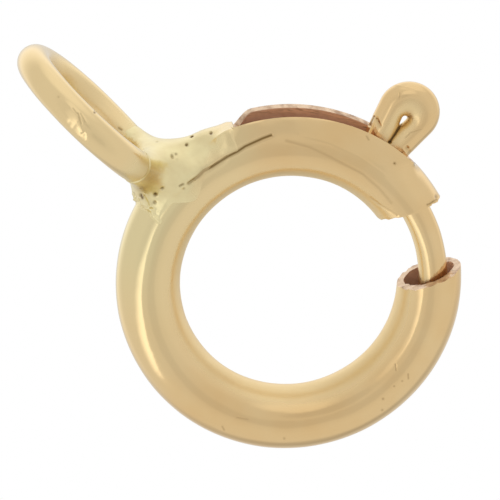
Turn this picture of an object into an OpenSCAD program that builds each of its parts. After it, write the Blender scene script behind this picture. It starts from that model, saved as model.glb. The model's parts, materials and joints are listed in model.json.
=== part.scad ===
// Spring ring clasp, lying as it rests on a table. Sizes in millimetres, angles in degrees.
// Each part is drawn flat, with the ring in the XY plane and the bail towards -X, and then laid down.
// Angles round the ring are counted from +X towards +Y.

/* [Ring] */
// Outside diameter of the ring
ring_d = 14; // [12:0.1:20]
// Diameter of the bent tube
tube_d = 2.6; // [2.4:0.05:3.2]
// Wall of the tube
wall = 0.26; // [0.15:0.01:0.32]

/* [Notch] */
// Width of the gap that the bolt closes
notch_w = 2.8; // [1.5:0.1:3.4]
// Where the middle of the gap is
notch_at = 57.3; // [50:0.1:60]
// How far the cut of the socket's mouth leans back
mouth_lean = 6; // [0:0.5:12]

/* [Slot] */
// Where the slot for the thumb loop starts
slot_from = 83.5; // [81:0.5:90]
// How far the bolt slides back round the ring
travel = 44.5; // [30:0.5:46]
// Clearance on each side of the thumb loop in the slot
slot_gap = 0.2; // [0.15:0.01:0.25]
// How far the lips stand out past the ring's outside
lip_rise = 0.08; // [0:0.01:0.2]

/* [Bolt] */
// Diameter of the bolt's wire
bolt_d = 1.17; // [0.9:0.01:1.3]
// Clearance between the bolt and the outer side of the bore
bolt_gap = 0.3; // [0.15:0.01:0.4]
// How far the closed bolt reaches into the socket
bolt_reach = 1.2; // [0.6:0.1:2.5]
// Length of the bolt behind the thumb loop
bolt_tail = 6; // [2:0.1:6.5]

/* [Thumb loop] */
// Diameter of the loop's wire
loop_wire = 1.1; // [0.8:0.01:1.15]
// Width of the hole in the loop
loop_hole = 0.26; // [0.1:0.02:0.6]
// How far the loop's middle stands out past the ring's outside
loop_rise = 1.44; // [1.2:0.01:2]
// Distance between the loop's two legs where they leave the bolt, middle to middle
leg_spread = 0.5; // [0.3:0.02:1]
// Clearance between the thumb loop and each end of the slot
loop_gap = 0.4; // [0.1:0.01:0.6]

/* [Spring] */
// Diameter of the coil spring's wire
spring_wire = 0.25; // [0.15:0.01:0.3]
// Clearance between the coil and the inside of the tube
spring_gap = 0.15; // [0.08:0.01:0.25]
// Number of turns
spring_turns = 16; // [8:1:20]
// Where the stop that the spring pushes on starts
stop_at = 254; // [245:1:270]
// Thickness of that stop
stop_t = 0.5; // [0.3:0.1:1.5]

/* [Bail] */
// Outside diameter of the bail
bail_d = 7.6; // [6:0.1:9]
// Diameter of the bail's wire
bail_wire = 1.35; // [0.8:0.05:1.6]
// How deep the bail's wire sits in the tube's wall
bail_sink = 0.1; // [0.05:0.01:0.14]
// How far the bail leans out of line with the ring's middle, towards the slot
bail_lean = 4; // [-6:0.5:6]

/* [Solder] */
// Radius of the solder round the foot of the bail
solder_r = 1.25; // [0.8:0.05:1.3]
// How far the solder that has run along the tube stands out past the ring's outside
solder_rise = 0.2; // [0.05:0.01:0.3]
// Thickness of that solder, measured along the ring's axis
solder_t = 2; // [1:0.1:2.2]
// How far it has run along the tube towards the slot
solder_to_slot = 3; // [1:0.1:3.2]
// How far it has run the other way
solder_away = 1.6; // [1:0.1:3.5]
// Radius of the lump beside the bail, on the slot's side
lump_r = 1; // [0.8:0.05:1.1]
// How far the lump stands out past the ring's outside
lump_rise = 0.6; // [0.3:0.01:0.7]
// Distance along the tube from the bail to the lump
lump_out = 1.2; // [0.8:0.1:2]

/* [Rest] */
// How far the ring leans over towards the thumb loop where it lies
rest_roll = 1.8; // [0:0.1:5]

/* [Hidden] */
$fn = 72;
past = 0.5; // how far a cut runs past what it cuts
gold = "#d9b97c";
steel = "#b9b4a8";

tube_r = tube_d / 2;
bore_r = tube_r - wall;
ring_r = ring_d / 2 - tube_r;

// The angle that a length takes up round the ring, at the given radius.
function degrees(length, r) = length / r * 180 / PI;

// The bolt runs on its own circle round the ring's middle.
bolt_path_r = ring_r + bore_r - bolt_gap - bolt_d / 2;
mouth_at = notch_at - asin(notch_w / 2 / ring_r);
bolt_tip_at = mouth_at - degrees(bolt_reach, bolt_path_r);

// Each leg runs straight from the loop to the bolt's middle, and leans in on the way.
// It is a little thinner than the loop and runs a little way into it.
loop_r = (loop_hole + loop_wire) / 2;
loop_x = ring_d / 2 + loop_rise;
leg_foot = loop_x - bolt_path_r;
leg_far = norm([leg_foot, leg_spread / 2]);
leg_lean = asin(loop_r / leg_far) - atan2(leg_spread / 2, leg_foot);
leg_d = loop_wire - 0.04;
leg_len = sqrt(leg_far * leg_far - loop_r * loop_r) + 0.08;

// The slot leaves the loop its travel, with the same clearance at each end.
// Its far end is a whole number of hundredths, so that the two bends there meet exactly.
slot_w = loop_wire + 2 * slot_gap;
legs_out = leg_spread / 2 + (ring_d / 2 - bolt_path_r) * tan(leg_lean) + leg_d / 2;
loop_room = asin((legs_out + loop_gap) / (ring_d / 2));
loop_at = slot_from + loop_room;
slot_to = round(100 * (loop_at + travel + loop_room)) / 100;
bolt_tail_at = loop_at + degrees(bolt_tail, bolt_path_r);

// Inside of a lip: an arc that leaves the bore at its widest and ends at the slot's edge.
lip_end = tube_r + lip_rise;
lip_dip = bore_r - slot_w / 2;
lip_r = (lip_end * lip_end + lip_dip * lip_dip) / (2 * lip_dip);

// The coil fills the tube between the bolt's tail and the stop.
coil_r = bore_r - spring_gap - spring_wire / 2;
coil_end_gap = 1.5;
coil_from = bolt_tail_at + coil_end_gap;
coil_to = stop_at - coil_end_gap;
coil_steps = 10; // rings of points in each turn
coil_sides = 6;

bail_r = (bail_d - bail_wire) / 2;
bail_out = bail_d / 2 - bail_sink; // from the ring's outside to the bail's middle

// The ring rests on the bail's lowest point and on the far side of the tube.
rest_pitch = asin((bail_d / 2 - tube_r) / (ring_r + ring_d / 2 + bail_out));

// Turns the flat clasp to the way it lies.
module laid() {
    rotate([-rest_roll, rest_pitch, 0]) children();
}

// A solid bent round the ring's middle, from one angle to another.
module bent(from, to, r) {
    rotate_extrude(start = from, angle = to - from) translate([r, 0]) children();
}

// The space between two lip arcs grown by the given thickness, from the tube's middle out to an end.
module lips_2d(thickness, end) {
    intersection() {
        translate([0, bore_r - lip_r]) circle(r = lip_r + thickness);
        translate([0, lip_r - bore_r]) circle(r = lip_r + thickness);
        translate([0, -tube_d]) square([end, 2 * tube_d]);
    }
}

// Section of the slotted stretch: half a round tube, with lips that run out past the ring.
module slotted_2d(thickness, end) {
    intersection() {
        circle(r = bore_r + thickness);
        translate([-tube_d, -tube_d]) square([tube_d, 2 * tube_d]);
    }
    lips_2d(thickness, end);
}

module tube_outside() {
    bent(slot_to, slot_from + 360, ring_r) circle(r = tube_r);
    bent(slot_from, slot_to, ring_r) slotted_2d(wall, lip_end);
}

module tube_bore() {
    bent(slot_to, slot_from + 360, ring_r) circle(r = bore_r);
    bent(slot_from, slot_to, ring_r) slotted_2d(0, lip_end + past);
}

// The gap is cut square, but the socket's side of it leans back from the rim that the ring lies on.
module notch() {
    across = tube_d + 2 * past;
    rotate(notch_at) translate([ring_r - tube_r - past, -notch_w / 2, -tube_r]) {
        translate([0, 0, -past]) cube([across, notch_w, across]);
        rotate([mouth_lean, 0, 0])
            translate([0, 0, -past]) cube([across, notch_w / 2, across]);
    }
}

module bail() {
    translate([-ring_d / 2, 0, 0])
        rotate(-bail_lean) translate([-bail_out, 0, 0])
            rotate([90, 0, 0]) rotate_extrude() translate([bail_r, 0]) circle(d = bail_wire);
}

module solder() {
    outside = ring_d / 2;
    bent(
        180 - degrees(solder_to_slot, outside),
        180 + degrees(solder_away, outside),
        outside + solder_rise - solder_t / 2
    ) circle(d = solder_t);
    translate([-outside, 0, 0]) sphere(r = solder_r);
    rotate(180 - degrees(lump_out, outside))
        translate([outside + lump_rise - lump_r, 0, 0]) sphere(r = lump_r);
}

// Closes the tube where the spring pushes.
module spring_stop() {
    bent(stop_at, stop_at + degrees(stop_t, ring_r), ring_r) circle(r = bore_r + wall / 2);
}

module clasp_ring() {
    color(gold) laid() {
        difference() {
            union() {
                tube_outside();
                bail();
                solder();
            }
            tube_bore();
            notch();
        }
        spring_stop();
    }
}

module thumb_loop() {
    bent(-90 - leg_lean, 90 + leg_lean, loop_r) circle(d = loop_wire);
    for (side = [-1, 1])
        translate([-leg_foot, side * leg_spread / 2, 0])
            rotate([0, 90, side * leg_lean]) cylinder(h = leg_len, d = leg_d);
}

module bolt() {
    color(gold) laid() {
        bent(bolt_tip_at, bolt_tail_at, bolt_path_r) circle(d = bolt_d);
        rotate(loop_at) translate([loop_x, 0, 0]) thumb_loop();
    }
}

// A point in the tube: angle round the ring, angle round the tube, and distance from the tube's middle.
function in_tube(a, b, r) = [
    (ring_r + r * cos(b)) * cos(a),
    (ring_r + r * cos(b)) * sin(a),
    r * sin(b)
];

// The coil as one swept wire. Each ring of points stands across the wire's own direction.
module spring() {
    rings = spring_turns * coil_steps;
    function turn_at(i) = 360 * i / coil_steps;
    function bend_at(i) = coil_from + (coil_to - coil_from) * i / rings;
    function middle(i) = in_tube(bend_at(i), turn_at(i), coil_r);
    function unit(v) = v / norm(v);
    function across(i) = unit(in_tube(bend_at(i), turn_at(i), coil_r + 1) - middle(i));
    function along(i) = unit(middle(i + 1) - middle(i - 1));
    function beside(i) = cross(along(i), across(i));
    function rim(i, k) = let (c = 360 * k / coil_sides)
        middle(i) + spring_wire / 2 * (cos(c) * across(i) + sin(c) * beside(i));
    points = [for (i = [0 : rings], k = [0 : coil_sides - 1]) rim(i, k)];
    sides = [
        for (i = [0 : rings - 1], k = [0 : coil_sides - 1])
            let (
                a = i * coil_sides + k,
                b = i * coil_sides + (k + 1) % coil_sides
            )
            each [[a, b, b + coil_sides], [a, b + coil_sides, a + coil_sides]]
    ];
    start = [for (k = [coil_sides - 1 : -1 : 0]) k];
    finish = [for (k = [0 : coil_sides - 1]) rings * coil_sides + k];
    color(steel) laid() polyhedron(points, concat([start], sides, [finish]));
}

clasp_ring();
bolt();
spring();
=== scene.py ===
"""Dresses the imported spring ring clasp: tube, bail, solder, bolt and spring, and the stage it lies on."""

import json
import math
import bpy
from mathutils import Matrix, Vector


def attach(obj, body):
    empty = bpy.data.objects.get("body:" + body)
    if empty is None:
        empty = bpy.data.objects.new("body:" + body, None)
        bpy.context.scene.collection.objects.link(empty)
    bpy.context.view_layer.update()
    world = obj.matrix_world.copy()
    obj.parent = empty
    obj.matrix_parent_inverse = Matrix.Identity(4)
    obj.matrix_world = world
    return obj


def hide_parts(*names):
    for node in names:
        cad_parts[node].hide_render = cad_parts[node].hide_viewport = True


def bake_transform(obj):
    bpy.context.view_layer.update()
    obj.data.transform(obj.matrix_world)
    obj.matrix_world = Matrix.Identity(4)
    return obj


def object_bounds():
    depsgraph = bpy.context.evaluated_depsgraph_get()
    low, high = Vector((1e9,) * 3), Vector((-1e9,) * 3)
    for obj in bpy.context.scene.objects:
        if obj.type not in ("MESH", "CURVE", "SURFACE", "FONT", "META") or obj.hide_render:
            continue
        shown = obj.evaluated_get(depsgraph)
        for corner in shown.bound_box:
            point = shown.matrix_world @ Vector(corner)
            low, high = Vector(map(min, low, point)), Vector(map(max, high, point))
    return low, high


bl_info = {
    "name": "Spring Ring Clasp",
    "version": (1, 0, 0),
    "blender": (4, 5, 0),
    "location": "View3D > Sidebar > Clasp",
    "description": "Adds a soldered gold spring ring clasp and its stage",
    "category": "Add Mesh",
}

from collections import namedtuple
from functools import cache

import bmesh
import bpy
import numpy as np
from bpy.props import FloatProperty, FloatVectorProperty, IntProperty, PointerProperty
from mathutils import Matrix, Vector, noise

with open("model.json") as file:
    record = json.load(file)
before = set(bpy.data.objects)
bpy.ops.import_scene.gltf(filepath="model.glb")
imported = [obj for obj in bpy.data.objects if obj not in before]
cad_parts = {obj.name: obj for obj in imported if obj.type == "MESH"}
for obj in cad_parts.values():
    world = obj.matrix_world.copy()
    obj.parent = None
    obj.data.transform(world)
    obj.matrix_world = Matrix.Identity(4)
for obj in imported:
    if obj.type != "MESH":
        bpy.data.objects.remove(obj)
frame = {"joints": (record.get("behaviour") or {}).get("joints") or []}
cad_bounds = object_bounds()
slide = frame["joints"][0]

MM = 0.001

# The ring's own axis, as the clasp lies. Its lean brings the flat clasp, whose ring is in the XY plane,
# to the way that it rests.
RING_AXIS = Vector(slide["axis"]).normalized()
LAID = (
    Matrix.Rotation(math.atan2(RING_AXIS.x, RING_AXIS.z), 4, "Y")
    @ Matrix.Rotation(-math.asin(RING_AXIS.y), 4, "X")
)

# The camera looks from the same side as the photograph's. Its direction, and the same on the flat clasp.
VIEW = Vector((-0.0857, 0.1754, 0.9808)).normalized()
SIGHT = LAID.inverted() @ VIEW


def colour(code):
    """An sRGB hex value as a linear colour."""
    def linear(pair):
        value = int(pair, 16) / 255
        return value / 12.92 if value <= 0.04045 else ((value + 0.055) / 1.055) ** 2.4
    return tuple(linear(code[i : i + 2]) for i in (0, 2, 4))


def length(name, description, millimetres, **more):
    return FloatProperty(
        name=name, description=description, default=millimetres * MM, unit="LENGTH", precision=5, **more
    )


def angle(name, description, degrees):
    return FloatProperty(name=name, description=description, default=math.radians(degrees), subtype="ANGLE")


def swatch(name, description, code):
    return FloatVectorProperty(
        name=name, description=description, default=colour(code), subtype="COLOR", min=0.0, max=1.0
    )


class ClaspSizes(bpy.types.PropertyGroup):
    """Sizes of the clasp's own pieces, as they are before it is laid down."""

    ring: length("Ring", "Outside diameter of the ring", 14)
    tube: length("Tube", "Diameter of the bent tube", 2.6)
    wall: length("Wall", "Thickness of the tube's wall", 0.26)
    notch: length("Notch", "Width of the gap that the bolt closes", 2.8)
    notch_at: angle("Notch at", "Where the middle of the gap is, counted round the ring", 57.3)
    mouth_lean: angle("Mouth lean", "How far the cut of the socket's mouth leans back", 7.5)
    slot_from: angle("Slot from", "Where the slot starts, at the thumb loop", 83.5)
    slot_to: angle("Slot to", "Where the slot ends, at the solder", 150.7)
    slot: length("Slot", "Width of the slot between the lips", 1.5)
    lip_rise: length("Lip rise", "How far the lips stand out past the ring's outside", 0.08)
    bolt: length("Bolt", "Diameter of the bolt's wire", 1.17)
    bolt_path: length("Bolt path", "Radius of the circle that the bolt runs on", 5.855)
    bolt_from: angle("Bolt tip", "Where the closed bolt's tip is", 31.3)
    bolt_to: angle("Bolt tail", "Where the closed bolt's tail is", 153.5)
    loop_wire: length("Loop wire", "Diameter of the thumb loop's wire", 1.16)
    loop_hole: length("Loop hole", "Width of the hole in the thumb loop", 0.2)
    loop_at: angle("Loop at", "Where the thumb loop is", 94.84)
    loop_out: length("Loop out", "Distance of the thumb loop's middle from the ring's middle", 8.44)
    leg_spread: length("Leg spread", "Distance between the loop's legs where they leave the bolt", 0.5)
    bail: length("Bail", "Outside diameter of the bail", 7.6)
    bail_wire: length("Bail wire", "Diameter of the bail's wire", 1.35)
    bail_sink: length("Bail sink", "How deep the bail's wire sits in the tube's wall", 0.1)
    bail_lean: angle("Bail lean", "How far the bail leans out of line, towards the slot", 4)
    spring_wire: length("Spring wire", "Diameter of the coil spring's wire", 0.25)
    spring_coil: length("Coil", "Radius of the coil, to the middle of its wire", 0.765)
    spring_from: angle("Spring from", "Where the coil starts, at the bolt's tail", 155.2)
    spring_to: angle("Spring to", "Where the coil ends, at the stop", 252.3)
    spring_turns: IntProperty(name="Turns", description="Number of turns in the coil", default=16)


class ClaspColours(bpy.types.PropertyGroup):
    """Colours of the clasp's metals."""

    gold: swatch("Gold", "Polished 14 carat yellow gold", "EBCE9C")
    gold_warm: swatch("Warm gold", "The same gold where handling has left it warmer", "E8C690")
    # Pale gold is also painted on the inner sides of the tube and the bolt and along the loop's crease, as
    # painted light.
    gold_pale: swatch("Pale gold", "The paler gold of the bail, and of what was heated", "EDD4A2")
    cut: swatch("Cut edge", "Gold filed across and left to tarnish", "EACFB2")
    cut_dark: swatch("Dark cut", "The darker tarnish in the filed edges", "9A745A")
    # Copper is lighter than the tarnish itself, as painted light on the lips near their edge.
    copper: swatch("Copper", "Reddish tarnish on the lips of the slot", "F6C49E")
    bore: swatch("Bore", "Tarnish inside the tube", "E2B99E")
    bore_dark: swatch("Dark bore", "The darkest tarnish inside the tube", "BE8A70")
    solder: swatch("Solder", "Pale greenish gold solder", "F2E5B4")
    solder_dull: swatch("Dull solder", "The same solder where it is duller", "E8D8A8")
    # Amber is painted shade in the concave corner between the bail and the solder.
    amber: swatch("Amber", "Flux stain at the foot of the bail", "D0B678")
    # Besides real dirt, this dark is painted as shade in the loop's crease and under its leg, and as a
    # reflection along the solder's edge.
    stain_and_shade: swatch("Stain", "Dirt and burnt flux in the pits", "6A4C14")
    steel: swatch("Steel", "Spring wire", "9A968E")
    table: swatch("Table", "The lit white table", "FFFFFF")
    tent: swatch("Tent", "Light of the tent, a little warmer than the table's", "FFFEFC")


def sizes():
    """The sizes in millimetres and radians."""
    group = bpy.context.scene.clasp_sizes
    got = {}
    for name in ClaspSizes.__annotations__:
        prop = ClaspSizes.bl_rna.properties[name]
        value = getattr(group, name)
        got[name] = value / MM if prop.unit == "LENGTH" else value
    # The radii of the circles that the middles of the tube and of the bail's wire run on.
    got["tube_path"] = (got["ring"] - got["tube"]) / 2
    got["bail_path"] = (got["bail"] - got["bail_wire"]) / 2
    return got


def shown(name):
    """One of the clasp's colours, as a shader's socket takes it."""
    return (*getattr(bpy.context.scene.clasp_colours, name), 1.0)


def mix(a, b, t):
    return a + (b - a) * t


def ramp(low, high, x):
    """A soft step from 0 to 1, for a number or an array."""
    t = np.clip((x - low) / (high - low), 0, 1)
    return t * t * (3 - 2 * t)


def deselect():
    """Leaves edit mode and selects nothing."""
    if bpy.context.object and bpy.context.object.mode != "OBJECT":
        bpy.ops.object.mode_set(mode="OBJECT")
    bpy.ops.object.select_all(action="DESELECT")


def select_only(obj):
    deselect()
    bpy.context.view_layer.objects.active = obj
    obj.select_set(True)


def into_mesh(obj):
    """Puts an object's place, turn and scale in its mesh."""
    obj.data.transform(obj.matrix_world)
    obj.matrix_world = Matrix.Identity(4)
    return obj


def pick(obj, kind, test):
    """In edit mode, selects the vertices, edges or faces that pass the test, and nothing else."""
    bpy.ops.mesh.select_mode(type=kind)
    bpy.ops.mesh.select_all(action="DESELECT")
    mesh = bmesh.from_edit_mesh(obj.data)
    for item in {"VERT": mesh.verts, "EDGE": mesh.edges, "FACE": mesh.faces}[kind]:
        if test(item):
            item.select_set(True)
    mesh.select_flush_mode()
    bmesh.update_edit_mesh(obj.data)


def modify(obj, kind, **settings):
    """Adds a modifier, sets it and applies it."""
    bpy.context.view_layer.objects.active = obj
    bpy.ops.object.modifier_add(type=kind)
    made = obj.modifiers[-1]
    for name, value in settings.items():
        setattr(made, name, value)
    bpy.ops.object.modifier_apply(modifier=made.name)


def points_of(obj):
    """The mesh's points, a row each."""
    flat = np.empty(3 * len(obj.data.vertices))
    obj.data.vertices.foreach_get("co", flat)
    return flat.reshape(-1, 3)


def put_points(obj, points):
    obj.data.vertices.foreach_set("co", points.ravel())
    obj.data.update()


def normals_of(obj):
    return np.array([v.normal for v in obj.data.vertices])


def move_points(obj, place):
    """Moves each vertex to where the function puts it."""
    for vertex in obj.data.vertices:
        vertex.co = place(vertex.co)
    obj.data.update()


def tint(obj, name, values):
    """Gives each point of the mesh a value from 0 to 1 that a material reads."""
    layer = obj.data.attributes.new(name, "FLOAT", "POINT")
    layer.data.foreach_set("value", np.clip(values, 0, 1).astype(np.float32))


# A dent, a scratch or a groove: the places on the flat clasp that it runs through, how wide and deep it is,
# and how much it is darkened, by dirt or, in some marks, by painted shade or a painted reflection. A
# negative depth is a burr.
Mark = namedtuple("Mark", "path width depth dirt")
# How far in front of a mark or behind it, as the camera sees it, the surface may be and still take it.
MARK_REACH = 0.3


def far_from(points, path):
    """How far each point is from a path of straight stretches, or from a single place.

    Depth counts for nothing as far as a mark reaches, so that the mark lands on the surface there.
    """
    stops = np.array(path)
    nearest = np.full(len(points), np.inf)
    for start, end in zip(stops, stops[1:] if len(stops) > 1 else stops):
        run = end - start
        along = np.clip((points - start) @ run / max(run @ run, 1e-9), 0, 1)
        apart = points - start - along[:, None] * run
        depth = apart @ SIGHT
        across = np.linalg.norm(apart - np.outer(depth, SIGHT), axis=1)
        nearest = np.minimum(nearest, np.hypot(across, np.maximum(np.abs(depth) - MARK_REACH, 0)))
    return nearest


def imprint(points, mark):
    """How strongly each point feels a mark: 1 in its middle, fading out on both sides."""
    return np.exp(-((far_from(points, mark.path) / mark.width) ** 2))


def from_tube_middle(points, s):
    """The angle of flat points round the ring, and how far out they are from the middle of the tube."""
    at = np.arctan2(points[:, 1], points[:, 0]) % math.tau
    return at, np.hypot(points[:, 0], points[:, 1]) - s["tube_path"]


def within(at, start, full, fading, end):
    """Rises from 0 to 1 between the first two places, and falls back between the last two."""
    return np.minimum(ramp(start, full, at), 1 - ramp(fading, end, at))


def refine(obj, marks, cuts):
    """Divides the faces near the marks, as far out as each is felt, so that the mesh can hold them."""
    middles = np.empty(3 * len(obj.data.polygons))
    obj.data.polygons.foreach_get("center", middles)
    middles = middles.reshape(-1, 3)
    near = np.zeros(len(middles), dtype=bool)
    for mark in marks:
        near |= far_from(middles, mark.path) < 1.6 * mark.width + 0.07
    select_only(obj)
    bpy.ops.object.mode_set(mode="EDIT")
    pick(obj, "FACE", lambda face: near[face.index])
    bpy.ops.mesh.subdivide(number_cuts=cuts)
    bpy.ops.object.mode_set(mode="OBJECT")


def wear(obj, marks, cuts=3):
    """Presses the marks into a piece and tints the dirt, and the painted shade, in them."""
    refine(obj, marks, cuts)
    points, normals = points_of(obj), normals_of(obj)
    sunk = np.zeros(len(points))
    dirt = np.zeros(len(points))
    for mark in marks:
        shape = imprint(points, mark)
        sunk += mark.depth * shape
        dirt = np.maximum(dirt, mark.dirt * shape)
    put_points(obj, points - normals * sunk[:, None])
    tint(obj, "dirt", dirt)


def face_out(obj):
    """Turns the faces of a closed piece outwards."""
    bpy.ops.object.mode_set(mode="EDIT")
    bpy.ops.mesh.select_all(action="SELECT")
    bpy.ops.mesh.normals_make_consistent(inside=False)
    bpy.ops.object.mode_set(mode="OBJECT")


def wire_circle(name, radius, out, points):
    """A circle that stands across the ring's path, with its middle on +X at the given distance."""
    deselect()
    bpy.ops.mesh.primitive_circle_add(
        vertices=points, radius=radius, fill_type="NOTHING",
        location=(out, 0, 0), rotation=(math.radians(90), 0, 0),
    )
    obj = bpy.context.active_object
    obj.name = obj.data.name = name
    return into_mesh(obj)


def bent_wire(name, radius, out, start, end, steps, points, closed=True):
    """A wire or a tube's skin, spun round the ring's middle from one angle to the other."""
    obj = wire_circle(name, radius, out, points)
    bpy.ops.object.mode_set(mode="EDIT")
    bpy.ops.mesh.select_all(action="SELECT")
    # Spin turns clockwise about +Z, so the angle is taken the other way.
    bpy.ops.mesh.spin(steps=steps, angle=start - end, center=(0, 0, 0), axis=(0, 0, 1))
    if closed:
        pick(obj, "EDGE", lambda e: e.is_boundary)
        bpy.ops.mesh.edge_face_add()
    bpy.ops.object.mode_set(mode="OBJECT")
    face_out(obj)
    obj.data.transform(Matrix.Rotation(start, 4, "Z"))
    return obj


def finish(obj, body, materials, replaces, smooth_angle=40):
    """Lays the piece down, gives it its finish and seats it on its body."""
    select_only(obj)
    bpy.ops.object.shade_smooth_by_angle(angle=math.radians(smooth_angle))
    obj.data.transform(Matrix.Scale(MM, 4) @ LAID)
    for material in materials:
        obj.data.materials.append(material)
    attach(obj, body)
    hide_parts(*replaces)
    deselect()


# Steps round the ring and points round the section, enough for the reflections in the tube.
TUBE_STEPS = 340
TUBE_POINTS = 72
# How wide the filed edges are broken.
EDGE_BREAK = 0.045
# Over how much of the ring the cuts of the tube's two ends are eased in. The filed cuts' unevenness, coarse
# and fine, and how far the mouth's upper edge is rolled inwards.
END_EASE = math.radians(14)
CUT_ROUGH = 0.05
CUT_GRIT = 0.04
BURR = 0.14
# How far the slot takes to open at its ends. The wall above it starts to bend sooner, by this much at the
# tube's top, and more softly at the thumb loop. Then how far the lower lip takes to rise, at the thumb loop
# and at the solder.
SLOT_EASE = 0.3
WALL_AHEAD = 1.0
WALL_EASE = 3.0
LIP_EASE = 0.35
LOWER_LIP_EASE = 1.1

# The line where the solder stopped: a shallow groove whose dark colour is a painted reflection of a dark
# seam in the tent.
SOLDER_LINE = (
    (-4.73, 4.37, 1.23), (-4.92, 4.05, 1.24), (-5.08, 3.72, 1.24), (-5.26, 3.35, 1.24), (-5.35, 3.00, 1.21),
    (-5.54, 2.60, 1.25), (-5.69, 2.22, 1.35), (-5.80, 1.90, 1.40), (-5.96, 1.56, 1.40), (-5.99, 1.2, 1.4),
    (-6.10, 0.80, 1.45),
)
TUBE_MARKS = (
    # The groove along the solder's edge, darkened as a painted reflection.
    Mark(SOLDER_LINE, 0.065, 0.035, 0.9),
    # Pits behind the thumb loop.
    Mark(((-0.07, 6.58, 1.19),), 0.05, 0.03, 0.8),
    Mark(((-1.65, 6.72, 1.09), (-1.50, 6.66, 1.12)), 0.04, 0.015, 0.3),
    Mark(((-1.95, 6.55, 1.06), (-1.72, 6.62, 1.08)), 0.03, -0.008, 0.0),
    # The seam between two polished stretches, and a fine line beside it.
    Mark(((-4.10, 4.57, 1.27), (-3.21, 4.96, 1.29), (-2.34, 5.18, 1.30), (-1.44, 5.36, 1.29),
          (-0.83, 5.47, 1.29), (0.11, 5.41, 1.26), (0.87, 5.26, 1.25)), 0.06, 0.007, 0.16),
    Mark(((-3.87, 5.11, 1.23), (-2.71, 5.62, 1.26), (-1.39, 5.93, 1.28), (-0.11, 5.99, 1.28)),
         0.05, -0.006, 0.0),
    # Nicks in the corner by the notch.
    Mark(((2.13, 6.08, 1.03), (2.19, 6.15, 0.98), (2.28, 6.33, 0.84), (2.36, 6.42, 0.7)), 0.045, 0.04, 0.6),
    Mark(((2.30, 6.50, 0.62),), 0.07, 0.05, 0.5),
    # Scratches on the far side.
    Mark(((5.36, 0.20, 1.26), (5.52, 0.02, 1.29)), 0.03, 0.012, 0.35),
    Mark(((6.01, 0.20, 1.26), (6.16, 0.05, 1.22)), 0.03, 0.012, 0.4),
    Mark(((6.01, -0.17, 1.26),), 0.04, 0.01, 0.35),
    Mark(((5.89, -0.54, 1.28),), 0.04, 0.01, 0.35),
    Mark(((5.89, -1.23, 1.25),), 0.05, 0.012, 0.4),
    Mark(((6.22, -1.64, 1.07),), 0.05, 0.012, 0.35),
    Mark(((3.85, -5.02, 1.14),), 0.05, 0.01, 0.3),
    Mark(((1.75, -6.29, 0.99), (1.60, -6.22, 1.03)), 0.04, 0.01, 0.3),
    Mark(((1.74, -5.51, 1.29), (2.15, -5.30, 1.30)), 0.03, 0.006, 0.2),
    Mark(((0.14, 4.85, 0.99), (0.60, 4.86, 1.02), (1.42, 4.99, 1.20)), 0.05, 0.01, 0.15),
)


def round_ring(point, start=0.0):
    """The angle of a flat point round the ring, from the given angle onwards."""
    return (math.atan2(point.y, point.x) - start) % math.tau + start


def uneven(obj, depth, grain):
    """Gives a piece the slight unevenness that hand polishing leaves."""
    normals = [v.normal.copy() for v in obj.data.vertices]
    for vertex, normal in zip(obj.data.vertices, normals):
        vertex.co += normal * depth * noise.noise(vertex.co / grain)
    obj.data.update()


def draw_along(obj, depth, s):
    """Gives the tube the long shallow facets that drawing and polishing along it leave."""
    points, normals = points_of(obj), normals_of(obj)
    at, out = from_tube_middle(points, s)
    section = np.arctan2(points[:, 2], out)
    facets = np.array([
        noise.noise(Vector((3 * math.cos(a), 3 * math.sin(a), 3.2 * b)))
        + 0.35 * noise.noise(Vector((9 * math.cos(a), 9 * math.sin(a), 8 * b + 20)))
        for a, b in zip(at, section)
    ])
    put_points(obj, points + normals * (depth * facets)[:, None])


def lip_arc(s):
    """The flared lip's arc across the tube: how far out it ends, its radius, how deep its middle lies."""
    bore = s["tube"] / 2 - s["wall"]
    end, dip = s["tube"] / 2 + s["lip_rise"], bore - s["slot"] / 2
    inside = (end * end + dip * dip) / (2 * dip)
    return end, inside + s["wall"], inside - bore


def lip_point(across, opened, flare, s):
    """A point of the tube's outer half section: 0 is its top and 1 the edge of the slot."""
    r = s["tube"] / 2
    end, arc, drop = lip_arc(s)
    turn = across * math.asin(end / arc)
    cut = across * math.acos(s["slot"] / 2 / (r - s["wall"]))
    whole = across * math.pi / 2
    flared = (arc * math.sin(turn), arc * math.cos(turn) - drop)
    slotted = (r * math.sin(cut), r * math.cos(cut))
    closed = (r * math.sin(whole), r * math.cos(whole))
    return [mix(c, mix(a, b, flare), opened) for a, b, c in zip(slotted, flared, closed)]


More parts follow.
